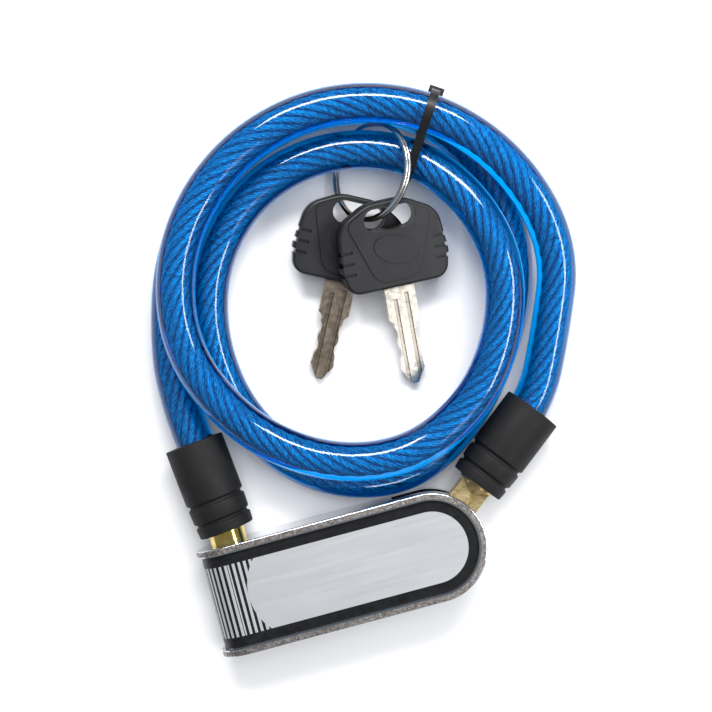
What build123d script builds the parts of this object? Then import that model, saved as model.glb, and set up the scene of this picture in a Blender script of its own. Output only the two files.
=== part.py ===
from build123d import *
import os
from math import cos, pi, radians, sin, tan

# Coiled cable lock lying on its back with its two keys on a split ring.
# Origin: middle of the lock body's flat back. +X toward the tongue, +Y toward the coil, +Z up.
os.makedirs("parts", exist_ok=True)

# ---- driving dimensions, millimetres and degrees ----
BODY_T = 18.5  # thickness over the rims
BODY_R = 16.85  # half width, and radius of the round end
PIN_X = 26.35  # centre of the round end and of the tongue pin
END_X = -35.45  # centre of the half-round left end
MID_Z = BODY_T / 2
RIM_W = 2.3
RECESS = 1.5  # label recess, front and round the left end
LABEL_T = 0.4
EDGE_R = 0.5
PIN_SUNK = 0.3  # both pins end this far below the flat back

CABLE_R, JACKET_IN_R, CORE_R = 6.0, 3.1, 2.9
SLEEVE_R, SLEEVE_BORE_R, SLEEVE_L = 9.2, 7.3, 29.1

PLUG_X, PLUG_R, PLUG_TIP_Y, NECK_R = -34.0, 5.6, -6.0, 5.0
GROOVE_R, GROOVE_Y = 3.6, (9.2, 12.5)

CYL_X, BARREL_R, BARREL_BORE_R, ROTOR_R = -15.5, 6.8, 5.8, 5.7
CYL_Y = (-16.6, 9.4)
KEYWAY_W, KEYWAY_H, KEYWAY_END_Y = 2.5, 9.7, 8.2
CAM_R, CAM_PIN_R = 2.0, 1.1
CAM_A = radians(45)
BOLT_Y, BOLT_H = (9.55, 12.2), 8.0
BOLT_X = (-27.32, -5.17)  # drawn back, as stored
WAFER_Y, WAFER_T, WAFER_W = (-8.0, -6.0, -4.0, -2.0, 0.0), 1.2, 5.2
SCREW_X, SCREW_R = (3.0, 10.0), 4.0
CHANNEL_Y = 10.85

TONGUE_A = 38.0  # direction of the tongue in the XY plane
TONGUE_W, TONGUE_T, HUB_R, PIN_R = 9.7, 6.2, 7.0, 2.5
SLOT_FROM, SLOT_TO = -45.0, 100.0

RING_R, RING_C = 14.85, (38.19, 116.29, 11.61)
RING_TURN, RING_TILT, RING_LIFT = radians(17.44), radians(42.55), radians(3.87)
KEY_T, HEAD_T = 2.3, 6.0


def save(piece, name):
    piece.part.label = name
    export_step(piece.part, "parts/" + name + ".step")


# ---- cable route ----
# Coil turns: one point each 30 degrees, clockwise from 180. Radii and heights differ from
# point to point because the turns lie loosely on each other.
COIL_C = (26.9, 79.0)
POINT_OUT = 1 / 0.9665  # a point stands outside the arc that rounds it
TURN_1_R = (62.2, 60.6, 60.6, 60.6, 60.4, 54.4, 47.2, 43.2, 46.5, 55.9, 56.8, 53.0)
TURN_1_Z = (6.1, 6.1, 6.3, 6.8, 7.4, 6.6, 6.1, 6.1, 6.1, 6.1, 6.1, 6.1)
TURN_2_R = (49.8, 48.8, 47.8, 46.4, 45.5, 43.0, 42.2, 41.8, 44.8, 49.0, 51.0, 53.6)
TURN_2_Z = (7.0, 8.2, 9.6, 10.4, 11.6, 16.2, 18.3, 18.3, 18.3, 18.3, 18.3, 18.3)
TURN_3_R = (57.6, 58.8, 59.0, 59.0, 58.8, 58.6, 59.6)
TURN_3_Z = (18.5, 18.6, 18.6, 19.1, 19.6, 19.0, 15.6)
STEP_A = 30.0


def on_tongue(distance):
    """Point on the tongue's centreline, at this distance from the pin."""
    a = radians(TONGUE_A)
    return (PIN_X + distance * cos(a), distance * sin(a), MID_Z)


START = [(-34.1, 29.5, 9.25), (-35.3, 43.5, 9.25), (-37.6, 58.0, 7.6)]
END = [(78.2, 52.3, 11.2), on_tongue(53.5), on_tongue(32.0)]


def coil_points():
    radii = TURN_1_R + TURN_2_R + TURN_3_R
    heights = TURN_1_Z + TURN_2_Z + TURN_3_Z
    points = []
    for i, (r, z) in enumerate(zip(radii, heights)):
        a = radians(180 - STEP_A * i)
        reach = r * POINT_OUT
        points.append((COIL_C[0] + reach * cos(a), COIL_C[1] + reach * sin(a), z))
    return points


def arc_radii(points):
    """Largest arc at each corner that leaves a tenth of the shorter run straight."""
    radii = []
    for a, b, c in zip(points, points[1:], points[2:]):
        run_in, run_out = Vector(b) - Vector(a), Vector(c) - Vector(b)
        half_turn = radians(run_in.get_angle(run_out)) / 2
        radii.append(0.45 * min(run_in.length, run_out.length) / tan(half_turn))
    return radii


ROUTE = START + coil_points() + END
RADII = arc_radii(ROUTE)
print("arc radii", [round(r, 1) for r in RADII])


START_DIR = (Vector(ROUTE[1]) - Vector(ROUTE[0])).normalized()
START_PLANE = Plane(origin=ROUTE[0], z_dir=START_DIR)
JACKET_PIECES = 6  # the jacket is one tube, kept as pieces that meet end to end

with BuildLine() as cable_path:
    FilletPolyline(*ROUTE, radius=RADII)
cable_length = sum(edge.length for edge in cable_path.edges())


def jacket_pieces():
    """The route's edges in order, in groups of about equal length."""
    groups, reach = [[] for _ in range(JACKET_PIECES)], 0.0
    for edge in Wire(cable_path.line.edges()).order_edges():
        piece = int((reach + edge.length / 2) / cable_length * JACKET_PIECES)
        groups[piece].append(edge)
        reach += edge.length
    return groups


jacket_volume = 0.0
for number, group in enumerate(jacket_pieces(), start=1):
    with BuildPart() as cable_jacket:
        with BuildSketch(Plane(origin=group[0] @ 0, z_dir=group[0] % 0)):
            Circle(CABLE_R)
            Circle(JACKET_IN_R, mode=Mode.SUBTRACT)
        sweep(path=Wire(group))
    save(cable_jacket, "cable_jacket_" + str(number))
    jacket_volume += cable_jacket.part.volume
jacket_length = jacket_volume / (pi * (CABLE_R**2 - JACKET_IN_R**2))
print("cable length", round(cable_length, 1), "jacket length", round(jacket_length, 1))

with BuildPart() as cable_core:
    with BuildSketch(START_PLANE):
        Circle(CORE_R)
    sweep(path=cable_path.line)
save(cable_core, "cable_core")


# ---- cable tie round the three turns ----
TIE_A = radians(56.5)
TIE_TURNS = ((59.6, 7.3), (45.3, 12.3), (58.9, 19.5))  # radius from the coil's middle, height
TIE_PLANE = Plane(
    origin=(*COIL_C, 0), x_dir=(cos(TIE_A), sin(TIE_A), 0), z_dir=(sin(TIE_A), -cos(TIE_A), 0)
)
TIE_IN, TIE_OUT, TIE_W = 6.4, 7.2, 2.7

with BuildPart() as cable_tie:
    with BuildSketch(TIE_PLANE) as strap:
        with Locations(*TIE_TURNS):
            Circle(TIE_OUT)
        make_hull()
    extrude(amount=TIE_W / 2, both=True)
    with BuildSketch(TIE_PLANE) as inside:
        with Locations(*TIE_TURNS):
            Circle(TIE_IN)
        make_hull()
    extrude(amount=TIE_W / 2, both=True, mode=Mode.SUBTRACT)
    with BuildSketch(TIE_PLANE):
        with Locations((44.9, 3.1)):
            RectangleRounded(5.0, 3.4, 0.6)
        with Locations((68.0, 8.6)):
            RectangleRounded(2.6, 2.0, 0.3)
    extrude(amount=2.4, both=True)
save(cable_tie, "cable_tie")


# ---- sleeves on both cable ends ----
def sleeve_profile():
    """Half section: plain barrel on the cable side, two ring grooves toward the metal."""
    r = SLEEVE_R
    Polygon(
        (SLEEVE_BORE_R, 0), (r - 0.6, 0), (r - 0.35, 3.2), (r - 1.15, 3.7), (r - 1.15, 4.3),
        (r - 0.3, 4.9), (r - 0.1, 9.2), (r - 0.9, 9.7), (r - 0.9, 10.4), (r, 11.0),
        (r, SLEEVE_L - 1.2), (r - 1.2, SLEEVE_L), (SLEEVE_BORE_R, SLEEVE_L), align=None,
    )


def sleeve(name, origin, direction):
    plane = Plane(origin=origin, x_dir=(0, 0, 1), z_dir=Vector(0, 0, 1).cross(Vector(direction)))
    with BuildPart() as piece:
        with BuildSketch(plane):
            sleeve_profile()
        revolve(axis=Axis(origin, direction))
    save(piece, name)


PLUG_SLEEVE_DIR = (-0.103, 0.9947, 0)
sleeve("plug_sleeve", (-33.7, 20.8, MID_Z), PLUG_SLEEVE_DIR)
TONGUE_DIR = (cos(radians(TONGUE_A)), sin(radians(TONGUE_A)), 0)
sleeve("tongue_sleeve", on_tongue(23.7), TONGUE_DIR)


# ---- plug ----
with BuildPart() as plug:
    with BuildSketch(Plane.XY.offset(MID_Z)):
        with BuildLine():
            x = PLUG_X
            Polyline(
                (x, PLUG_TIP_Y), (x + 3.2, PLUG_TIP_Y), (x + PLUG_R, PLUG_TIP_Y + 2.6),
                (x + PLUG_R, GROOVE_Y[0] - 0.8), (x + GROOVE_R, GROOVE_Y[0]),
                (x + GROOVE_R, GROOVE_Y[1]), (x + PLUG_R, GROOVE_Y[1]), (x + PLUG_R, 22.8),
                (x, 22.8), close=True,
            )
        make_face()
    revolve(axis=Axis((PLUG_X, 0, MID_Z), (0, 1, 0)))
    with BuildSketch(START_PLANE):
        Circle(NECK_R)
    extrude(amount=-8.0)
save(plug, "plug")


# ---- lock body ----
def flat_outline(radius):
    """The body's outline from the left end's centre to the round end."""
    with Locations(((END_X + PIN_X) / 2, 0)):
        Rectangle(PIN_X - END_X, 2 * radius)
    with Locations((PIN_X, 0)):
        Circle(radius)


def end_half(outer, inner=0.0):
    """Half disc or half ring of the left end, in the XZ plane."""
    with Locations((END_X, MID_Z)):
        Circle(outer)
        if inner:
            Circle(inner, mode=Mode.SUBTRACT)
    with Locations((END_X + outer, MID_Z)):
        Rectangle(2 * outer, 2 * outer + 1, mode=Mode.SUBTRACT)


def slot_outline():
    """Space that the tongue sweeps, open through the round end."""
    reach, side = 22.0, TONGUE_W / 2 + 0.25
    low, high = radians(SLOT_FROM), radians(SLOT_TO)
    low_p = (PIN_X + side * sin(low), -side * cos(low))
    high_p = (PIN_X - side * sin(high), side * cos(high))
    low_far = (low_p[0] + reach * cos(low), low_p[1] + reach * sin(low))
    high_far = (high_p[0] + reach * cos(high), high_p[1] + reach * sin(high))
    Polygon(
        (PIN_X, 0), low_p, low_far, (PIN_X + 2 * reach, low_far[1]),
        (PIN_X + 2 * reach, high_far[1]), high_far, high_p, align=None,
    )


INSET_R = BODY_R - RIM_W
with BuildPart() as body_shell:
    with BuildSketch():
        flat_outline(BODY_R)
    extrude(amount=BODY_T)
    with BuildSketch(Plane.XZ):
        end_half(MID_Z)
    extrude(amount=BODY_R, both=True)
    rim_edges = (
        body_shell.edges().filter_by(GeomType.LINE).filter_by(Axis.X)
        + body_shell.edges().filter_by(GeomType.CIRCLE)
    )
    fillet(rim_edges, EDGE_R)
    # label recess: front and round the left end
    with BuildSketch(Plane.XY.offset(BODY_T - RECESS)):
        flat_outline(INSET_R)
    extrude(amount=RECESS, mode=Mode.SUBTRACT)
    with BuildSketch(Plane.XZ):
        end_half(MID_Z + 0.5, MID_Z - RECESS)
    extrude(amount=INSET_R, both=True, mode=Mode.SUBTRACT)
    # plug bore, from the coil side
    with BuildSketch(Plane.XZ.offset(-BODY_R)):
        with Locations((PLUG_X, MID_Z)):
            Circle(PLUG_R + 0.1)
    extrude(amount=BODY_R + 7.2, mode=Mode.SUBTRACT)
    # key cylinder bore, from the other side
    with BuildSketch(Plane.XZ.offset(BODY_R)):
        with Locations((CYL_X, MID_Z)):
            Circle(BARREL_R + 0.05)
    extrude(amount=-(BODY_R + CYL_Y[1] + 0.05), mode=Mode.SUBTRACT)
    # latch channel and the tapped hole that closes it
    with BuildSketch(Plane.YZ.offset(PLUG_X)):
        with Locations((CHANNEL_Y, MID_Z)):
            Rectangle(2.9, BOLT_H + 0.2)
    extrude(amount=SCREW_X[0] - PLUG_X, mode=Mode.SUBTRACT)
    with BuildSketch(Plane.YZ.offset(SCREW_X[0])):
        with Locations((CHANNEL_Y, MID_Z)):
            Circle(SCREW_R + 0.05)
    extrude(amount=PIN_X - SCREW_X[0] - 5.0, mode=Mode.SUBTRACT)
    # tongue space and pin hole
    with BuildSketch(Plane.XY.offset(MID_Z - TONGUE_T / 2 - 0.4)):
        with Locations((PIN_X, 0)):
            Circle(HUB_R + 0.4)
        slot_outline()
    extrude(amount=TONGUE_T + 0.8, mode=Mode.SUBTRACT)
    with BuildSketch(Plane.XY):
        with Locations((PIN_X, 0)):
            Circle(PIN_R)
    extrude(amount=15.5, mode=Mode.SUBTRACT)
    # hole for the barrel's retaining pin
    with BuildSketch(Plane.XY):
        with Locations((CYL_X, -12.5)):
            Circle(1.0)
    extrude(amount=3.3, mode=Mode.SUBTRACT)
save(body_shell, "body_shell")

LABEL_R = INSET_R - 0.2
with BuildPart() as label_wrap:
    with BuildSketch(Plane.XY.offset(BODY_T - RECESS)):
        flat_outline(LABEL_R)
    extrude(amount=LABEL_T)
    with BuildSketch(Plane.XZ):
        end_half(MID_Z - RECESS + LABEL_T, MID_Z - RECESS)
    extrude(amount=LABEL_R, both=True)
save(label_wrap, "label_wrap")


# ---- key cylinder ----
GROOVE_OUT_R = 6.35
with BuildPart() as barrel:
    with BuildSketch(Plane.XZ.offset(-CYL_Y[0])):
        with Locations((CYL_X, MID_Z)):
            Circle(BARREL_R)
            Circle(BARREL_BORE_R, mode=Mode.SUBTRACT)
    extrude(amount=-(CYL_Y[1] - CYL_Y[0]))
    with BuildSketch(Plane.XZ.offset(9.0)):
        with Locations((CYL_X, MID_Z)):
            Circle(GROOVE_OUT_R)
            Circle(BARREL_BORE_R - 0.1, mode=Mode.SUBTRACT)
            with PolarLocations(6.4, 4, start_angle=45):
                Rectangle(3.6, 3.6, mode=Mode.SUBTRACT)
    extrude(amount=-11.0, mode=Mode.SUBTRACT)
    with BuildSketch(Plane.XY):
        with Locations((CYL_X, -12.5)):
            Circle(1.0)
    extrude(amount=3.3, mode=Mode.SUBTRACT)
save(barrel, "barrel")

with BuildPart() as barrel_pin:
    with BuildSketch(Plane.XY.offset(PIN_SUNK)):
        with Locations((CYL_X, -12.5)):
            Circle(1.0)
    extrude(amount=3.3 - PIN_SUNK)
save(barrel_pin, "barrel_pin")

LUG_X = 4.0
with BuildPart() as rotor:
    with BuildSketch(Plane.XZ.offset(16.4)):
        with Locations((CYL_X, MID_Z)):
            Circle(ROTOR_R)
    extrude(amount=-(16.4 + CYL_Y[1] - 0.1))
    with BuildSketch(Plane.XZ.offset(16.4)):
        with Locations((CYL_X, MID_Z)):
            Rectangle(KEYWAY_W, KEYWAY_H)
    extrude(amount=-(16.4 + KEYWAY_END_Y), mode=Mode.SUBTRACT)
    for y in WAFER_Y:
        with BuildSketch(Plane.XZ.offset(-y)):
            with Locations((CYL_X, MID_Z)):
                Rectangle(WAFER_W + 0.1, 14)
            with Locations((CYL_X + 3.35, MID_Z)):
                Rectangle(1.6, 6.2)
        extrude(amount=WAFER_T / 2 + 0.05, both=True, mode=Mode.SUBTRACT)
    with BuildSketch(Plane.XZ.offset(-(CYL_Y[1] - 0.1))):
        with Locations((CYL_X + CAM_R * cos(CAM_A), MID_Z + CAM_R * sin(CAM_A))):
            Circle(CAM_PIN_R)
    extrude(amount=-2.7)
save(rotor, "rotor")


def wafers(name, rows):
    """Plates with a window for the key and a lug for the spring, one in each row."""
    with BuildPart() as piece:
        for y in rows:
            with BuildSketch(Plane.XZ.offset(-y)):
                with Locations((CYL_X, MID_Z)):
                    Circle(ROTOR_R - 0.1)
                    Rectangle(WAFER_W, 14, mode=Mode.INTERSECT)
                    Rectangle(WAFER_W - 2.4, 7.4, mode=Mode.SUBTRACT)
                with Locations((CYL_X + (WAFER_W / 2 - 0.2 + LUG_X) / 2, MID_Z)):
                    Rectangle(LUG_X - WAFER_W / 2 + 0.2, 1.0)
            extrude(amount=WAFER_T / 2, both=True)
    save(piece, name)


def wafer_springs(name, rows, low):
    """Small springs between the lugs and the rotor, from this height above the axis."""
    with BuildPart() as piece:
        with BuildSketch(Plane.XY.offset(MID_Z + low)):
            with Locations(*[(CYL_X + 3.4, y) for y in rows]):
                Circle(0.45)
        extrude(amount=2.5)
    save(piece, name)


wafers("wafers_up", WAFER_Y[0::2])
wafers("wafers_down", WAFER_Y[1::2])
wafer_springs("wafer_springs_up", WAFER_Y[0::2], -3.0)
wafer_springs("wafer_springs_down", WAFER_Y[1::2], 0.5)


# ---- latch ----
with BuildPart() as latch_bolt:
    with BuildSketch(Plane.YZ.offset(BOLT_X[0])):
        with Locations(((BOLT_Y[0] + BOLT_Y[1]) / 2, MID_Z)):
            Rectangle(BOLT_Y[1] - BOLT_Y[0], BOLT_H)
    extrude(amount=BOLT_X[1] - BOLT_X[0])
    chamfer(latch_bolt.faces().sort_by(Axis.X)[0].edges().filter_by(Axis.Z), 0.4)
    with BuildSketch(Plane.XZ.offset(-8.0)):
        with Locations((CYL_X + CAM_R * cos(CAM_A), MID_Z + 1.6)):
            Rectangle(2 * CAM_PIN_R + 0.4, 3.8)
    extrude(amount=-6.0, mode=Mode.SUBTRACT)
save(latch_bolt, "latch_bolt")

with BuildPart() as latch_spring:
    with BuildSketch(Plane.YZ.offset(BOLT_X[1])):
        with Locations((CHANNEL_Y, MID_Z)):
            Circle(1.3)
            Circle(0.85, mode=Mode.SUBTRACT)
    extrude(amount=SCREW_X[0] - BOLT_X[1])
save(latch_spring, "latch_spring")

with BuildPart() as spring_stop_screw:
    with BuildSketch(Plane.YZ.offset(SCREW_X[0])):
        with Locations((CHANNEL_Y, MID_Z)):
            Circle(SCREW_R)
    extrude(amount=SCREW_X[1] - SCREW_X[0])
    with BuildSketch(Plane.YZ.offset(SCREW_X[1])):
        with Locations((CHANNEL_Y, MID_Z)):
            RegularPolygon(1.5, 6, major_radius=False)
    extrude(amount=-3.5, mode=Mode.SUBTRACT)
save(spring_stop_screw, "spring_stop_screw")


# ---- tongue ----
with BuildPart() as tongue_pin:
    with BuildSketch(Plane.XY.offset(PIN_SUNK)):
        with Locations((PIN_X, 0)):
            Circle(PIN_R)
    extrude(amount=15.5 - PIN_SUNK)
save(tongue_pin, "tongue_pin")

with BuildPart() as tongue_washers:
    for z in (MID_Z - TONGUE_T / 2 - 0.35, MID_Z + TONGUE_T / 2 + 0.05):
        with BuildSketch(Plane.XY.offset(z)):
            with Locations((PIN_X, 0)):
                Circle(6.3)
                Circle(PIN_R + 0.05, mode=Mode.SUBTRACT)
        extrude(amount=0.3)
save(tongue_washers, "tongue_washers")

FERRULE_R = 5.75
TONGUE_PLANE = Plane(
    origin=(PIN_X, 0, MID_Z), x_dir=TONGUE_DIR, z_dir=(0, 0, 1)
)
with BuildPart() as tongue:
    with BuildSketch(TONGUE_PLANE):
        Circle(HUB_R)
        with Locations((23.5 / 2, 0)):
            Rectangle(23.5, TONGUE_W)
    extrude(amount=TONGUE_T / 2, both=True)
    with BuildSketch(TONGUE_PLANE):
        with BuildLine():
            Polyline(
                (19.8, 0), (19.8, TONGUE_T / 2 - 0.4), (23.0, FERRULE_R), (32.0, FERRULE_R),
                (32.0, 0), close=True,
            )
        make_face()
    revolve(axis=Axis((PIN_X, 0, MID_Z), TONGUE_DIR))
    with BuildSketch(TONGUE_PLANE):
        Circle(PIN_R + 0.05)
    extrude(amount=HUB_R, both=True, mode=Mode.SUBTRACT)
save(tongue, "tongue")


# ---- split ring round the middle turn ----
def ring_directions():
    """Two directions in the ring's plane: down the slope, and across it, rising."""
    a, tilt, lift = RING_TURN, RING_TILT, RING_LIFT
    down = Vector(-sin(a) * cos(lift), -cos(a) * cos(lift), sin(lift))
    across = Vector(cos(a) * cos(tilt), -sin(a) * cos(tilt), sin(tilt))
    return down, (across - down * down.dot(across)).normalized()


RING_DOWN, RING_ACROSS = ring_directions()
RING_AXIS = RING_DOWN.cross(RING_ACROSS)
RING_W, RING_H = 1.4, 2.5  # radial and axial, two coils of wire together
RING_PLANE = Plane(origin=RING_C, x_dir=RING_ACROSS, z_dir=RING_ACROSS.cross(RING_AXIS))

with BuildPart() as split_ring:
    with BuildSketch(RING_PLANE):
        with Locations((RING_R, -RING_H / 4), (RING_R, RING_H / 4)):
            RectangleRounded(RING_W, RING_H / 2 + 0.08, 0.5)
    revolve(axis=Axis(RING_C, RING_AXIS))
save(split_ring, "split_ring")


# ---- keys ----
def key_plane(neck, heading, tilt, roll):
    """X across the key, Y from the blade toward the head, Z out of its upper face."""
    a, t, r = radians(heading), radians(tilt), radians(roll)
    along = Vector(cos(a) * cos(t), sin(a) * cos(t), sin(t))
    level = Vector(sin(a), -cos(a), 0)
    across = level * cos(r) + level.cross(along) * sin(r)
    return Plane(origin=neck, x_dir=across, z_dir=across.cross(along))


HEAD_CORNERS = (
    ((15.6, -1.2), 4.5), ((17.4, 7.0), 6.0), ((16.0, 20.4), 8.0), ((6.0, 25.8), 12.0),
    ((-6.0, 25.8), 12.0), ((-16.0, 20.4), 8.0), ((-17.4, 7.0), 6.0), ((-15.6, -1.2), 4.5),
)
PANEL_CORNERS = (
    ((13.4, 20.6), 3.0), ((6.6, 1.2), 5.0), ((-6.6, 1.2), 5.0), ((-13.4, 20.6), 3.0),
    ((-5.6, 24.6), 6.0), ((5.6, 24.6), 6.0),
)
GRIP_Y, GRIP_DEPTH = (5.4, 8.8, 12.2), 0.45
PANEL_UP, OVAL_UP, OVAL, OVAL_TURN = 0.35, 0.25, (7.0, 4.3), -20.0
TANG_W, TANG_TOP = 7.0, 8.0
BLADE_W, BLADE_TIP = 9.6, -32.6
BITTING = ((-13.5, 1.3), (-16.5, 2.0), (-19.5, 1.5), (-22.5, 2.2), (-25.5, 1.4))


def key_head(name, plane):
    with BuildPart() as head:
        with BuildSketch(plane):
            with BuildLine():
                FilletPolyline(
                    *[p for p, _ in HEAD_CORNERS], radius=[r for _, r in HEAD_CORNERS], close=True
                )
            make_face()
        extrude(amount=HEAD_T / 2, both=True)
        outer = head.faces().sort_by(Axis(plane.origin, plane.z_dir))
        fillet(outer[-1].edges() + outer[0].edges(), 1.0)
        for face, flip in ((plane, 1), (Plane(plane.origin, -plane.x_dir, -plane.z_dir), -1)):
            top = face.offset(HEAD_T / 2)
            with BuildSketch(top):
                with BuildLine():
                    FilletPolyline(
                        *[p for p, _ in PANEL_CORNERS], radius=[r for _, r in PANEL_CORNERS],
                        close=True,
                    )
                make_face()
            extrude(amount=PANEL_UP)
            with BuildSketch(top.offset(PANEL_UP)):
                with Locations(Location((0.7 * flip, 10.6, 0), (0, 0, OVAL_TURN * flip))):
                    Ellipse(*OVAL)
            extrude(amount=OVAL_UP)
        with BuildSketch(plane):
            with Locations((0.6, 20.4)):
                SlotOverall(16.6, 7.0)
            for side in (-1, 1):
                with Locations(*[(side * 17.2, y) for y in GRIP_Y]):
                    Rectangle(1.8, 1.5)
        extrude(amount=HEAD_T, both=True, mode=Mode.SUBTRACT)
        for face in (-1, 1):
            with BuildSketch(plane.offset(face * HEAD_T / 2)):
                for side in (-1, 1):
                    with Locations(*[(side * 15.0, y) for y in GRIP_Y]):
                        Rectangle(4.4, 0.9)
            extrude(amount=GRIP_DEPTH, both=True, mode=Mode.SUBTRACT)
        with BuildSketch(plane):
            with Locations((0, TANG_TOP / 2 - 1)):
                Rectangle(TANG_W, TANG_TOP + 2)
        extrude(amount=KEY_T / 2, both=True, mode=Mode.SUBTRACT)
    save(head, name)


def blade_edge(side):
    """Notched edge, from the head to the tip."""
    points = [(side * BLADE_W / 2, -1.4), (side * BLADE_W / 2, -11.5)]
    for y, depth in BITTING:
        points.append((side * (BLADE_W / 2 - depth), y + 0.7))
        points.append((side * (BLADE_W / 2 - depth), y - 0.7))
    points.append((side * (BLADE_W / 2 - 1.1), -28.0))
    return points


def key_blade(name, plane):
    with BuildPart() as blade:
        with BuildSketch(plane):
            with BuildLine():
                Polyline(
                    (-TANG_W / 2, TANG_TOP), (TANG_W / 2, TANG_TOP), (TANG_W / 2, -1.4),
                    *blade_edge(1), (1.0, BLADE_TIP), (-1.0, BLADE_TIP),
                    *reversed(blade_edge(-1)), (-TANG_W / 2, -1.4), close=True,
                )
            make_face()
        extrude(amount=KEY_T / 2, both=True)
        for face in (-1, 1):
            with BuildSketch(plane.offset(face * KEY_T / 2)):
                with Locations((-1.9, -19.0), (1.9, -17.5)):
                    Rectangle(1.3, 28.0)
            extrude(amount=0.45, both=True, mode=Mode.SUBTRACT)
    save(blade, name)


FRONT_KEY = key_plane((37.4, 81.5, 9.41), 85.7, 13.0, -10.0)
REAR_KEY = key_plane((20.9, 87.4, 5.48), 62.0, 7.0, -10.0)
for key_name, plane in (("front_key", FRONT_KEY), ("rear_key", REAR_KEY)):
    key_head(key_name + "_head", plane)
    key_blade(key_name + "_blade", plane)
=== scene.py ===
import math

import bmesh
import bpy
from mathutils import Matrix, Vector


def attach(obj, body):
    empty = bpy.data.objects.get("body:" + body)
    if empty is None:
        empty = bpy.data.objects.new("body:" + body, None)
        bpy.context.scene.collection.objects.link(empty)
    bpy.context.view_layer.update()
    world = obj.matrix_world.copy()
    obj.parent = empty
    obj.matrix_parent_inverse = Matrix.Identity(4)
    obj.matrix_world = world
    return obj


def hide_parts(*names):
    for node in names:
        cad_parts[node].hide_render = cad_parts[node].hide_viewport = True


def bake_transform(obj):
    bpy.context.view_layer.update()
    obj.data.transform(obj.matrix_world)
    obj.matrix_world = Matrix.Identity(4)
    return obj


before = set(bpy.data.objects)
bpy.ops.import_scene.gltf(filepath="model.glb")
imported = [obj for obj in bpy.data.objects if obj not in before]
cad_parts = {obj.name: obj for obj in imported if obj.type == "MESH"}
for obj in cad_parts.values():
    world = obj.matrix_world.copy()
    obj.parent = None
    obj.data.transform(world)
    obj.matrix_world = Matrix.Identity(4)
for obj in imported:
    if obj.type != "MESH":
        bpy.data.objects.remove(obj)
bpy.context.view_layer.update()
MM = 0.001

# ---- sizes shared with the CAD model, millimetres ----
PIN_X, END_X, MID_Z = 26.35, -35.45, 9.25  # tongue pin, start of the left end, mid height
BODY_T, BODY_R, RIM_W = 18.5, 16.85, 2.3  # thickness, half width, width of the rim
POLISHED_W = 0.4  # bright line along each edge of the rim
CABLE_R, CORE_R = 6.0, 3.0
SLEEVE_R, SLEEVE_L = 9.2, 29.1
LABEL_EDGE_R = 11.05  # the black border starts here
ARC_X, ARC_R = -15.0, 16.5  # arc that ends the plain panel on the left
STRIPE_PITCH = 1.75
WRAP_R = 7.95  # radius of the label round the left end
TONGUE_A = math.radians(38.0)
TONGUE_DIR = Vector((math.cos(TONGUE_A), math.sin(TONGUE_A), 0))
PLUG_SLEEVE_DIR = Vector((-0.103, 0.9947, 0)).normalized()


# ---- node material helpers ----
class Mat:
    """A node material with short calls for the nodes used here."""

    def __init__(self, name):
        self.mat = bpy.data.materials.new(name)
        self.mat.use_nodes = True
        self.tree = self.mat.node_tree
        self.bsdf = self.tree.nodes["Principled BSDF"]
        self.coords = self.tree.nodes.new("ShaderNodeTexCoord")

    def set(self, **values):
        for name, value in values.items():
            self.bsdf.inputs[name.replace("_", " ")].default_value = value
        return self

    def node(self, kind, **inputs):
        made = self.tree.nodes.new("ShaderNode" + kind)
        for name, value in inputs.items():
            self.wire(value, made.inputs[name.replace("_", " ")])
        return made

    def wire(self, value, socket):
        if isinstance(value, bpy.types.NodeSocket):
            self.tree.links.new(value, socket)
        else:
            socket.default_value = value

    def math(self, operation, a, b=None, c=None, clamp=False):
        made = self.tree.nodes.new("ShaderNodeMath")
        made.operation = operation
        made.use_clamp = clamp
        for socket, value in zip(made.inputs, (a, b, c)):
            if value is not None:
                self.wire(value, socket)
        return made.outputs[0]

    def noise(self, scale, detail=2.0, roughness=0.5, stretch=None, coords="Object"):
        vector = self.coords.outputs[coords]
        if stretch:
            mapping = self.node("Mapping", Vector=vector)
            mapping.inputs["Scale"].default_value = stretch
            vector = mapping.outputs[0]
        made = self.node("TexNoise", Vector=vector, Scale=scale, Detail=detail, Roughness=roughness)
        return made.outputs["Fac"]

    def ramp(self, value, stops):
        made = self.node("ValToRGB", Fac=value)
        elements = made.color_ramp.elements
        while len(elements) < len(stops):
            elements.new(0.5)
        for element, (place, colour) in zip(elements, stops):
            element.position = place
            element.color = colour if len(colour) == 4 else (*colour, 1)
        return made.outputs["Color"]

    def span(self, value, low, high, to_low=0.0, to_high=1.0):
        made = self.node("MapRange", Value=value)
        for name, number in (("From Min", low), ("From Max", high), ("To Min", to_low), ("To Max", to_high)):
            made.inputs[name].default_value = number
        return made.outputs[0]

    def mix(self, factor, a, b):
        made = self.tree.nodes.new("ShaderNodeMix")
        made.data_type = "RGBA"
        self.wire(factor, made.inputs[0])
        for socket, value in ((made.inputs[6], a), (made.inputs[7], b)):
            self.wire(value if isinstance(value, bpy.types.NodeSocket) else (*value, 1), socket)
        return made.outputs[2]

    def bump(self, height, distance, strength=1.0, normal=None):
        made = self.node("Bump", Height=height)
        made.inputs["Distance"].default_value = distance
        made.inputs["Strength"].default_value = strength
        if normal is not None:
            self.wire(normal, made.inputs["Normal"])
        return made.outputs[0]

    def to(self, **sockets):
        for name, value in sockets.items():
            self.wire(value, self.bsdf.inputs[name.replace("_", " ")])
        return self

    def corner_shade(self, reach, power):
        """1 on open faces, falling toward 0 in grooves and inner corners."""
        hollow = self.tree.nodes.new("ShaderNodeAmbientOcclusion")
        hollow.inputs["Distance"].default_value = reach
        return self.math("POWER", hollow.outputs["AO"], power)

    def xyz(self):
        """Object position in millimetres."""
        split = self.node("SeparateXYZ", Vector=self.coords.outputs["Object"])
        return [self.math("MULTIPLY", split.outputs[i], 1000.0) for i in range(3)]


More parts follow.
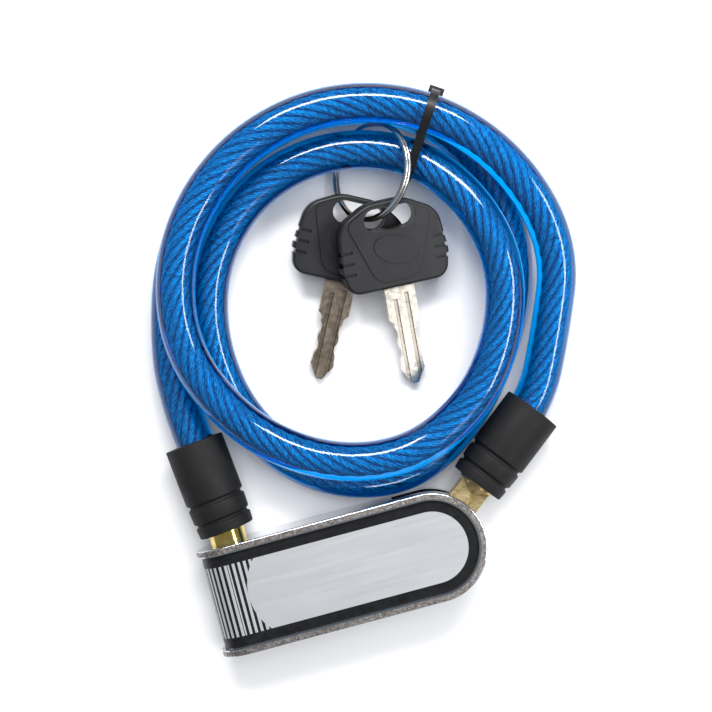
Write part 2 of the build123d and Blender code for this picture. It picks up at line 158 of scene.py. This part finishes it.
def paint(node, mat):
    """Give a CAD node this material."""
    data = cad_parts[node].data
    data.materials.clear()
    data.materials.append(mat.mat)


# ---- materials ----
def jacket_material():
    m = Mat("clear_blue_pvc")
    m.set(Base_Color=(0.0, 0.27, 0.74, 1), Roughness=0.05, IOR=1.5, Transmission_Weight=1.0)
    haze = m.noise(220.0, 3.0)
    edge = m.node("LayerWeight", Blend=0.5).outputs["Facing"]
    m.to(Roughness=m.span(haze, 0.3, 0.7, 0.03, 0.08),
         Transmission_Weight=m.span(edge, 0.58, 0.86, 1.0, 0.05),
         Specular_IOR_Level=m.span(edge, 0.58, 0.86, 0.5, 0.02),
         Normal=m.bump(m.noise(60.0, 2.0), 0.0001, 0.2))
    return m


def strand_material():
    """Steel wire strands: each wire shows as a short bright dash, slanted along the strand, with painted
    glints and painted shade down the sides of each strand.
    """
    m = Mat("steel_strands")
    uv = m.node("SeparateXYZ", Vector=m.coords.outputs["UV"])
    around, along = uv.outputs[0], uv.outputs[1]
    slant = m.math("SUBTRACT", m.math("MULTIPLY", around, 6.0), m.math("MULTIPLY", along, 0.30))
    wave = m.math("SINE", m.math("MULTIPLY", slant, 2 * math.pi))
    place = m.node("CombineXYZ", X=m.math("MULTIPLY", slant, 2.8), Y=m.math("MULTIPLY", along, 0.9))
    dashes = m.node("TexNoise", Vector=place.outputs[0], Scale=1.0, Detail=2.0, Roughness=0.6).outputs["Fac"]
    # painted glints: fine random bright specks added to the base colour; the same noise also varies the
    # roughness
    glint = m.noise(1500.0, 2.0, 0.6)
    tone = m.math("ADD", m.math("MULTIPLY", m.span(dashes, 0.3, 0.7), 0.55), m.math("MULTIPLY", glint, 0.4))
    # painted shade: turn 0 of a strand faces outward, so this is 1 on its crown and 0 down its sides, and the
    # colour is lighter on the crown and darker down the sides
    painted_crown_shade = m.span(m.math("COSINE", m.math("MULTIPLY", around, 2 * math.pi)), 0.1, 0.95)
    tone = m.math("ADD", tone, m.math("MULTIPLY", m.math("SUBTRACT", painted_crown_shade, 0.75), 0.30))
    tone = m.math("ADD", tone, m.math("MULTIPLY", wave, 0.06), clamp=True)
    m.set(Metallic=0.35)
    m.to(Base_Color=m.ramp(tone, [(0.3, (0.10, 0.28, 0.40)), (0.55, (0.46, 0.74, 0.86)),
                                  (0.72, (1.0, 1.0, 1.0))]),
         Roughness=m.span(glint, 0.3, 0.7, 0.28, 0.5),
         Normal=m.bump(m.math("ADD", wave, dashes), 0.0001, 0.7))
    return m


def rubber_material():
    m = Mat("matte_black_rubber")
    grain, cloud = m.noise(2600.0, 3.0, 0.6), m.noise(60.0, 3.0)
    m.set(Roughness=0.62, Specular_IOR_Level=0.2)
    m.to(Base_Color=m.ramp(cloud, [(0.3, (0.007, 0.007, 0.0075)), (0.75, (0.013, 0.0125, 0.013))]),
         Roughness=m.span(m.noise(140.0, 3.0), 0.3, 0.7, 0.5, 0.7),
         Normal=m.bump(grain, 0.00004, 0.5))
    return m


def nylon_material():
    m = Mat("black_nylon")
    m.set(Roughness=0.38, Specular_IOR_Level=0.3)
    m.to(Base_Color=m.ramp(m.noise(200.0, 3.0), [(0.3, (0.006, 0.006, 0.006)), (0.8, (0.012, 0.012, 0.012))]),
         Roughness=m.span(m.noise(300.0, 3.0), 0.3, 0.7, 0.3, 0.5),
         Normal=m.bump(m.noise(1800.0, 2.0), 0.00003, 0.5))
    return m


def key_plastic_material():
    m = Mat("key_head_plastic")
    grain = m.noise(1500.0, 3.0, 0.55)
    shade = m.corner_shade(0.0016, 3.0)
    moulded = m.ramp(m.noise(90.0, 3.0), [(0.3, (0.009, 0.009, 0.010)), (0.8, (0.016, 0.0155, 0.017))])
    m.set(Roughness=0.42, Specular_IOR_Level=0.35)
    m.to(Base_Color=m.mix(shade, (0.002, 0.002, 0.002), moulded),
         Roughness=m.span(m.noise(120.0, 4.0), 0.3, 0.7, 0.34, 0.52),
         Normal=m.bump(grain, 0.00003, 0.45))
    return m


def shell_material():
    """Chromed sides; the rim tops are left as cast, grainy, with bright polished edges."""
    m = Mat("chromed_casting")
    x, y, z = m.xyz()
    lean = m.math("MAXIMUM", m.math("SUBTRACT", END_X, x), 0.0)
    wall = m.math("POWER", m.math("ADD", m.math("POWER", lean, 2.0),
                                  m.math("POWER", m.math("SUBTRACT", z, MID_Z), 2.0)), 0.5)
    past_pin = m.math("MAXIMUM", m.math("SUBTRACT", x, PIN_X), 0.0)
    reach = m.math("POWER", m.math("ADD", m.math("POWER", past_pin, 2.0), m.math("POWER", y, 2.0)), 0.5)
    between = m.math("MULTIPLY", m.math("LESS_THAN", reach, BODY_R - POLISHED_W),
                     m.math("GREATER_THAN", reach, BODY_R - RIM_W + POLISHED_W))
    on_top = m.math("MULTIPLY", m.math("GREATER_THAN", wall, MID_Z - 0.03), between)
    grain = m.noise(1700.0, 4.0, 0.7)
    cast = m.ramp(grain, [(0.35, (0.12, 0.10, 0.09)), (0.5, (0.27, 0.24, 0.225)), (0.65, (0.50, 0.47, 0.45))])
    chrome = m.ramp(m.noise(45.0, 3.0), [(0.3, (0.50, 0.52, 0.55)), (0.7, (0.60, 0.62, 0.65))])
    m.set(Metallic=1.0)
    smooth = m.span(m.noise(160.0, 4.0), 0.3, 0.75, 0.05, 0.16)
    rough = m.math("ADD", smooth, m.math("MULTIPLY", on_top, 0.42))
    m.to(Base_Color=m.mix(on_top, chrome, cast), Roughness=rough,
         Normal=m.bump(m.math("MULTIPLY", grain, on_top), 0.00015, 0.8))
    return m


def label_material():
    """Printed aluminium: black border, plain silver panel, stripes round the left end."""
    m = Mat("printed_aluminium")
    x, y, z = m.xyz()
    far_y = m.math("ABSOLUTE", y)
    past_pin = m.math("MAXIMUM", m.math("SUBTRACT", x, PIN_X), 0.0)
    reach = m.math("POWER", m.math("ADD", m.math("POWER", past_pin, 2.0), m.math("POWER", far_y, 2.0)), 0.5)
    border = m.math("GREATER_THAN", reach, LABEL_EDGE_R)
    # the panel's left edge is an arc; stripes fill what is left of it
    from_arc = m.math("POWER", m.math("ADD", m.math("POWER", m.math("SUBTRACT", x, ARC_X), 2.0),
                                      m.math("POWER", y, 2.0)), 0.5)
    left = m.math("MULTIPLY", m.math("GREATER_THAN", from_arc, ARC_R), m.math("LESS_THAN", x, ARC_X))
    wave = m.math("SINE", m.math("MULTIPLY", x, 2 * math.pi / STRIPE_PITCH))
    stripe = m.math("MULTIPLY", m.math("GREATER_THAN", wave, 0.0), left)
    # round the end the stripes follow the wrap, so they are counted along the arc
    turn = m.math("ARCTAN2", m.math("SUBTRACT", z, MID_Z), m.math("SUBTRACT", END_X, x))
    wrap = m.math("MULTIPLY", turn, WRAP_R)
    wrap_wave = m.math("SINE", m.math("MULTIPLY", wrap, 2 * math.pi / STRIPE_PITCH))
    on_end = m.math("LESS_THAN", x, END_X)
    wrap_stripe = m.math("MULTIPLY", m.math("GREATER_THAN", wrap_wave, 0.0), on_end)
    flat_stripe = m.math("MULTIPLY", stripe, m.math("SUBTRACT", 1.0, on_end))
    ink = m.math("MAXIMUM", border, m.math("MAXIMUM", flat_stripe, wrap_stripe), clamp=True)
    brushed = m.noise(700.0, 3.0, 0.6, stretch=(0.05, 1.0, 1.0))
    cloud = m.noise(35.0, 3.0)
    tone = m.math("ADD", m.math("MULTIPLY", brushed, 0.35), m.math("MULTIPLY", cloud, 0.65))
    silver = m.ramp(tone, [(0.3, (0.40, 0.405, 0.42)), (0.7, (0.46, 0.465, 0.48))])
    black = m.ramp(m.noise(500.0, 2.0), [(0.3, (0.004, 0.004, 0.0045)), (0.7, (0.009, 0.009, 0.0095))])
    m.set(Metallic=0.0, Roughness=0.35, Specular_IOR_Level=0.3)
    m.to(Base_Color=m.mix(ink, silver, black),
         Metallic=m.math("MULTIPLY", m.math("SUBTRACT", 1.0, ink), 0.35),
         Roughness=m.math("ADD", m.span(brushed, 0.3, 0.7, 0.32, 0.46), m.math("MULTIPLY", ink, -0.02)),
         Normal=m.bump(m.math("ADD", brushed, m.math("MULTIPLY", ink, 0.6)), 0.00002, 0.4))
    return m


def metal(name, dark, light, rough_low, rough_high, scale=120.0, bump=0.00002, stretch=None):
    m = Mat(name)
    m.set(Metallic=1.0)
    m.to(Base_Color=m.ramp(m.noise(scale, 4.0, 0.55, stretch), [(0.3, dark), (0.7, light)]),
         Roughness=m.span(m.noise(scale * 3, 3.0), 0.3, 0.7, rough_low, rough_high),
         Normal=m.bump(m.noise(scale * 9, 2.0), bump, 0.5))
    return m


def blade_material(name, dark, light):
    """Milled nickel silver with painted shade darkening the grooves and bitting."""
    m = Mat(name)
    milled = m.noise(200.0, 4.0, 0.55, stretch=(1.0, 0.2, 1.0))
    m.set(Metallic=1.0)
    clean = m.ramp(milled, [(0.3, dark), (0.7, light)])
    # painted shade: ambient occlusion darkens the grooves and bitting to dark brown
    m.to(Base_Color=m.mix(m.corner_shade(0.0011, 2.2), (0.10, 0.065, 0.04), clean),
         Roughness=m.span(m.noise(600.0, 3.0), 0.3, 0.7, 0.18, 0.34),
         Normal=m.bump(milled, 0.00003, 0.5))
    return m


JACKET, STRAND = jacket_material(), strand_material()
RUBBER, NYLON, KEY_PLASTIC = rubber_material(), nylon_material(), key_plastic_material()
SHELL, LABEL = shell_material(), label_material()
GOLD = metal("gold_zinc", (0.62, 0.45, 0.10), (0.92, 0.76, 0.32), 0.08, 0.2)
YELLOW = metal("yellow_passivated", (0.42, 0.30, 0.12), (0.78, 0.62, 0.34), 0.3, 0.5, 300.0, 0.00006)
STEEL = metal("plain_steel", (0.42, 0.42, 0.43), (0.62, 0.62, 0.63), 0.25, 0.4)
BRASS = metal("turned_brass", (0.55, 0.40, 0.16), (0.80, 0.62, 0.32), 0.2, 0.35)
NICKEL = metal("nickel_wire", (0.66, 0.60, 0.52), (0.92, 0.85, 0.76), 0.12, 0.24, 160.0)
# painted reflection: the same nickel silver, painted bright cream on the front blade and dark brown on the
# rear blade for the light each blade reflects
CREAM_BLADE = blade_material("nickel_silver_front", (0.74, 0.66, 0.56), (0.93, 0.86, 0.76))
BROWN_BLADE = blade_material("nickel_silver_rear", (0.34, 0.26, 0.19), (0.56, 0.46, 0.36))

for node, mat in {
    "body_shell": SHELL, "label_wrap": LABEL, "plug": GOLD, "tongue": YELLOW, "barrel": BRASS,
    "rotor": BRASS, "barrel_pin": STEEL, "wafers_up": BRASS, "wafers_down": BRASS,
    "wafer_springs_up": STEEL, "wafer_springs_down": STEEL, "latch_bolt": STEEL,
    "latch_spring": STEEL, "spring_stop_screw": STEEL, "tongue_pin": STEEL, "tongue_washers": BRASS,
    "cable_tie": NYLON, "front_key_head": KEY_PLASTIC, "rear_key_head": KEY_PLASTIC,
    "front_key_blade": CREAM_BLADE, "rear_key_blade": BROWN_BLADE,
}.items():
    paint(node, mat)


# ---- cable: the route, in metres ----
COIL_C = (26.9, 79.0)
POINT_OUT = 1 / 0.9665
TURN_1_R = (62.2, 60.6, 60.6, 60.6, 60.4, 54.4, 47.2, 43.2, 46.5, 55.9, 56.8, 53.0)
TURN_1_Z = (6.1, 6.1, 6.3, 6.8, 7.4, 6.6, 6.1, 6.1, 6.1, 6.1, 6.1, 6.1)
TURN_2_R = (49.8, 48.8, 47.8, 46.4, 45.5, 43.0, 42.2, 41.8, 44.8, 49.0, 51.0, 53.6)
TURN_2_Z = (7.0, 8.2, 9.6, 10.4, 11.6, 16.2, 18.3, 18.3, 18.3, 18.3, 18.3, 18.3)
TURN_3_R = (57.6, 58.8, 59.0, 59.0, 58.8, 58.6, 59.6)
TURN_3_Z = (18.5, 18.6, 18.6, 19.1, 19.6, 19.0, 15.6)


def on_tongue(distance):
    return Vector((PIN_X, 0, MID_Z)) + TONGUE_DIR * distance


def route():
    points = [Vector(p) for p in ((-34.1, 29.5, 9.25), (-35.3, 43.5, 9.25), (-37.6, 58.0, 7.6))]
    radii, heights = TURN_1_R + TURN_2_R + TURN_3_R, TURN_1_Z + TURN_2_Z + TURN_3_Z
    for i, (r, z) in enumerate(zip(radii, heights)):
        a, reach = math.radians(180 - 30 * i), r * POINT_OUT
        points.append(Vector((COIL_C[0] + reach * math.cos(a), COIL_C[1] + reach * math.sin(a), z)))
    points += [Vector((78.2, 52.3, 11.2)), on_tongue(53.5), on_tongue(32.0)]
    return [p * MM for p in points]


def smooth_line(points, per_span=16):
    """Points along the NURBS curve that has these control points."""
    data = bpy.data.curves.new("cable_route", "CURVE")
    data.dimensions = "3D"
    spline = data.splines.new("NURBS")
    spline.points.add(len(points) - 1)
    for made, p in zip(spline.points, points):
        made.co = (*p, 1)
    spline.order_u = 3
    spline.use_endpoint_u = True
    data.resolution_u = per_span
    holder = bpy.data.objects.new("cable_route", data)
    bpy.context.scene.collection.objects.link(holder)
    mesh = bpy.data.meshes.new_from_object(holder)
    line = [v.co.copy() for v in mesh.vertices]
    bpy.data.objects.remove(holder)
    bpy.data.meshes.remove(mesh)
    return line


def evenly(line, step):
    """The same line with points this far apart."""
    reach = [0.0]
    for a, b in zip(line, line[1:]):
        reach.append(reach[-1] + (b - a).length)
    count = max(2, round(reach[-1] / step))
    out, k = [], 0
    for i in range(count + 1):
        s = reach[-1] * i / count
        while k < len(reach) - 2 and reach[k + 1] < s:
            k += 1
        t = (s - reach[k]) / max(reach[k + 1] - reach[k], 1e-12)
        out.append(line[k].lerp(line[k + 1], min(max(t, 0.0), 1.0)))
    return out, reach[-1]


def frames_along(line):
    """Two unit vectors across the line at each point, turning as little as possible."""
    tangents = []
    for i in range(len(line)):
        tangents.append((line[min(i + 1, len(line) - 1)] - line[max(i - 1, 0)]).normalized())
    normal = tangents[0].cross(Vector((0, 0, 1))).normalized()
    frames = []
    for t in tangents:
        normal = (normal - t * normal.dot(t)).normalized()
        frames.append((normal, t.cross(normal)))
    return frames


def new_object(name, verts, faces, mat):
    mesh = bpy.data.meshes.new(name)
    mesh.from_pydata(verts, [], faces)
    mesh.validate()
    mesh.materials.append(mat.mat)
    mesh.polygons.foreach_set("use_smooth", [True] * len(mesh.polygons))
    made = bpy.data.objects.new(name, mesh)
    bpy.context.scene.collection.objects.link(made)
    return made


def tube(name, rings, mat, length_at, caps=True):
    """Mesh tube through rings of points; UV is turns around and millimetres along."""
    sides = len(rings[0])
    verts = [p for ring in rings for p in ring]
    faces = []
    for i in range(len(rings) - 1):
        for j in range(sides):
            k = (j + 1) % sides
            faces.append((i * sides + j, i * sides + k, (i + 1) * sides + k, (i + 1) * sides + j))
    if caps:
        faces.append(tuple(reversed(range(sides))))
        faces.append(tuple(range((len(rings) - 1) * sides, len(rings) * sides)))
    made = new_object(name, verts, faces, mat)
    layer = made.data.uv_layers.new(name="UVMap")
    for polygon in made.data.polygons:
        if len(polygon.vertices) != 4:
            continue
        for corner, loop in enumerate(polygon.loop_indices):
            index = made.data.loops[loop].vertex_index
            around = (index % sides) / sides
            if corner in (1, 2) and index % sides == 0:
                around = 1.0
            layer.data[loop].uv = (around, length_at[index // sides])
    return made


def ring_at(centre, across, up, radius, sides):
    return [
        centre + (across * math.cos(a) + up * math.sin(a)) * radius
        for a in (2 * math.pi * j / sides for j in range(sides))
    ]


STRANDS, STRAND_R, PITCH = 7, 1.05, 36.0
LINE, CABLE_LENGTH = evenly(smooth_line(route()), 0.9 * MM)
FRAMES = frames_along(LINE)
STEP = CABLE_LENGTH / (len(LINE) - 1)


def jacket_stretch(name, first, last):
    rings = [
        ring_at(LINE[i], *FRAMES[i], CABLE_R * MM, 40) for i in range(first, last + 1)
    ]
    return tube(name, rings, JACKET, [i * STEP / MM for i in range(first, last + 1)], False)


def strand_stretch(name, first, last):
    """The wire rope inside: strands laid in a helix round a straight one."""
    rope = []
    for s in range(STRANDS + 1):
        rings, along = [], []
        for i in range(first, last + 1):
            centre, (across, up) = LINE[i], FRAMES[i]
            turn = 2 * math.pi * (s / STRANDS + i * STEP / (PITCH * MM))
            out = across * math.cos(turn) + up * math.sin(turn)
            side = up * math.cos(turn) - across * math.sin(turn)
            lay = (CORE_R - STRAND_R) * MM if s < STRANDS else 0.0
            radius = STRAND_R if s < STRANDS else CORE_R - 2 * STRAND_R + 0.25
            rings.append(ring_at(centre + out * lay, out, side, radius * MM, 12))
            along.append(i * STEP / MM)
        rope.append(tube(f"{name}_{s}", rings, STRAND, along))
    return join(rope, name)


def join(objects, name):
    bm = bmesh.new()
    mat = objects[0].data.materials[0]
    for made in objects:
        bm.from_mesh(made.data)
        bpy.data.objects.remove(made)
    mesh = bpy.data.meshes.new(name)
    bm.to_mesh(mesh)
    bm.free()
    mesh.materials.append(mat)
    whole = bpy.data.objects.new(name, mesh)
    bpy.context.scene.collection.objects.link(whole)
    return whole


TAIL = 74 * MM  # length of each of the last two stretches of the cable
LAST = len(LINE) - 1
CUT_C = LAST - round(TAIL / STEP)
CUT_B = LAST - round(2 * TAIL / STEP)
for label, first, last in (("coil", 0, CUT_B), ("bend", CUT_B, CUT_C), ("tongue", CUT_C, LAST)):
    jacket = jacket_stretch("cable_jacket_" + label, first, last)
    rope = strand_stretch("cable_rope_" + label, first, last)
    if label == "coil":
        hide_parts(*[f"cable_jacket_{i}" for i in range(1, 7)])
        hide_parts("cable_core")
    for piece in (jacket, rope):
        if label == "coil":
            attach(piece, "coil")
        elif label == "bend":
            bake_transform(piece)
        else:
            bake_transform(piece)


# ---- sleeves ----
def lathe(name, profile, origin, direction, mat, sides=96):
    """Turned piece: the profile's points are (radius, distance along direction)."""
    d = Vector(direction).normalized()
    across = d.cross(Vector((0, 0, 1))).normalized()
    up = across.cross(d)
    verts, faces = [], []
    for r, along in profile:
        verts += ring_at((Vector(origin) + d * along) * MM, across, up, r * MM, sides)
    count = len(profile)
    for i in range(count):
        n = (i + 1) % count
        for j in range(sides):
            k = (j + 1) % sides
            faces.append((i * sides + j, i * sides + k, n * sides + k, n * sides + j))
    made = new_object(name, verts, faces, mat)
    bm = bmesh.new()
    bm.from_mesh(made.data)
    bmesh.ops.recalc_face_normals(bm, faces=bm.faces)
    bm.to_mesh(made.data)
    bm.free()
    return made


def soft_profile(points, radius=0.35, steps=3):
    """The closed profile with each corner rounded by a short curve."""
    out = []
    count = len(points)
    for i, p in enumerate(points):
        p, a, b = Vector(p), Vector(points[i - 1]), Vector(points[(i + 1) % count])
        cut = min(radius, (a - p).length * 0.45, (b - p).length * 0.45)
        start, end = p + (a - p).normalized() * cut, p + (b - p).normalized() * cut
        for k in range(steps + 1):
            t = k / steps
            out.append(start * (1 - t) ** 2 + p * 2 * t * (1 - t) + end * t * t)
    return [(q.x, q.y) for q in out]


def sleeve(name, node, origin, direction, body):
    r, bore = SLEEVE_R, 6.05
    corners = [
        (6.6, 0.0), (r - 0.6, 0.0), (r - 0.35, 3.3), (r - 1.15, 3.7), (r - 1.15, 4.3),
        (r - 0.3, 4.8), (r - 0.1, 9.3), (r - 0.9, 9.7), (r - 0.9, 10.4), (r, 10.9),
        (r + 0.02, SLEEVE_L - 0.2), (bore + 0.5, SLEEVE_L), (bore + 0.5, SLEEVE_L - 4),
        (6.6, SLEEVE_L - 5),
    ]
    made = lathe(name, soft_profile(corners), origin, direction, RUBBER)
    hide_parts(node)
    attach(made, body)


sleeve("plug_boot", "plug_sleeve", (-33.7, 20.8, MID_Z), PLUG_SLEEVE_DIR, "coil")
sleeve("tongue_boot", "tongue_sleeve", on_tongue(23.7), TONGUE_DIR, "tongue")


# ---- split ring: two coils of flat-sided wire ----
RING_R, RING_C = 14.85, Vector((38.19, 116.29, 11.61))
RING_TURN, RING_TILT, RING_LIFT = math.radians(17.44), math.radians(42.55), math.radians(3.87)


def ring_directions():
    a, tilt, lift = RING_TURN, RING_TILT, RING_LIFT
    down = Vector((-math.sin(a) * math.cos(lift), -math.cos(a) * math.cos(lift), math.sin(lift)))
    across = Vector((math.cos(a) * math.cos(tilt), -math.sin(a) * math.cos(tilt), math.sin(tilt)))
    return down, (across - down * down.dot(across)).normalized()


def split_ring():
    down, across = ring_directions()
    axis = down.cross(across)
    wire_w, wire_h, turns, per_turn = 1.35, 1.16, 2.0, 120
    rings, along = [], []
    total = int(turns * per_turn)
    for i in range(total + 1):
        t = i / per_turn
        a = 2 * math.pi * t + math.radians(205)
        # each coil lies flat, and the wire steps over between 0.86 and 1.0 of a turn
        step = min(max((t - 0.86) / 0.14, 0.0), 1.0)
        offset = (step * step * (3 - 2 * step) - 0.5) * (wire_h + 0.06)
        out = down * math.cos(a) + across * math.sin(a)
        centre = RING_C + out * RING_R + axis * offset
        taper = min(1.0, i / 4 + 0.35, (total - i) / 4 + 0.35)
        ring = []
        for j in range(12):
            b = 2 * math.pi * j / 12
            u = math.copysign(abs(math.cos(b)) ** 0.6, math.cos(b)) * wire_w / 2
            v = math.copysign(abs(math.sin(b)) ** 0.6, math.sin(b)) * wire_h / 2
            ring.append((centre + out * u * taper + axis * v * taper) * MM)
        rings.append(ring)
        along.append(i * 0.8)
    made = tube("split_ring_wire", rings, NICKEL, along)
    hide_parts("split_ring")
    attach(made, "ring")


split_ring()


# ---- floor, light and camera ----
def floor():
    mesh = bpy.data.meshes.new("floor")
    s = 1.6
    mesh.from_pydata([(-s, -s, 0), (s, -s, 0), (s, s, 0), (-s, s, 0)], [], [(0, 1, 2, 3)])
    m = Mat("white_floor")
    m.set(Base_Color=(0.74, 0.74, 0.75, 1), Roughness=0.9, Specular_IOR_Level=0.1,
          Emission_Color=(1, 1, 1, 1), Emission_Strength=0.06)
    mesh.materials.append(m.mat)
    made = bpy.data.objects.new("floor", mesh)
    bpy.context.scene.collection.objects.link(made)


PICTURE_ROLL = math.radians(15)
RIGHT = Vector((math.cos(PICTURE_ROLL), -math.sin(PICTURE_ROLL), 0))
UP = Vector((math.sin(PICTURE_ROLL), math.cos(PICTURE_ROLL), 0))
LOOK_AT = Vector((19.0, 62.5, 0.0)) * MM


def area(name, place, aim, size, power, colour=(1, 1, 1), size_y=None):
    data = bpy.data.lights.new(name, "AREA")
    data.energy, data.size, data.color = power, size, colour
    if size_y:
        data.shape, data.size_y = "RECTANGLE", size_y
    made = bpy.data.objects.new(name, data)
    bpy.context.scene.collection.objects.link(made)
    made.location = place
    made.rotation_euler = facing(place, aim, UP)
    return made


def facing(place, aim, up):
    """Rotation of a light here that points at aim, with its long side along up."""
    back = (Vector(place) - Vector(aim)).normalized()
    side = up.cross(back).normalized()
    return Matrix((side, back.cross(side), back)).transposed().to_euler()


def lights():
    world = bpy.data.worlds.new("studio")
    bpy.context.scene.world = world
    world.use_nodes = True
    background = world.node_tree.nodes["Background"]
    background.inputs["Color"].default_value = (0.86, 0.93, 1.0, 1)
    background.inputs["Strength"].default_value = 0.3
    above = Vector((0, 0, 1))
    fill = area("overhead", LOOK_AT + above * 0.9 + UP * 0.3, LOOK_AT, 0.8, 5.5)
    fill.visible_glossy = False
    area("top_strip", LOOK_AT + UP * 0.55 + above * 0.68, LOOK_AT, 0.62, 8.5, size_y=0.17)
    area("right_strip", LOOK_AT + RIGHT * 0.6 + above * 0.6, LOOK_AT, 0.14, 4.2, size_y=0.62)
    key_side = RIGHT * 0.46 - UP * 0.42 + above * 0.7
    area("blade_card", LOOK_AT + key_side, LOOK_AT + RIGHT * 0.015, 0.24, 0.45)


def camera():
    data = bpy.data.cameras.new("camera")
    made = bpy.data.objects.new("camera", data)
    bpy.context.scene.collection.objects.link(made)
    front, distance, width = BODY_T * MM, 0.400, 0.2164
    data.angle = 2 * math.atan(width / 2 / distance)
    made.location = Vector((LOOK_AT.x, LOOK_AT.y, front + distance))
    made.rotation_euler = Matrix((RIGHT, UP, Vector((0, 0, 1)))).transposed().to_euler()
    bpy.context.scene.camera = made


floor()
lights()
camera()
bpy.context.scene.view_settings.view_transform = "Standard"
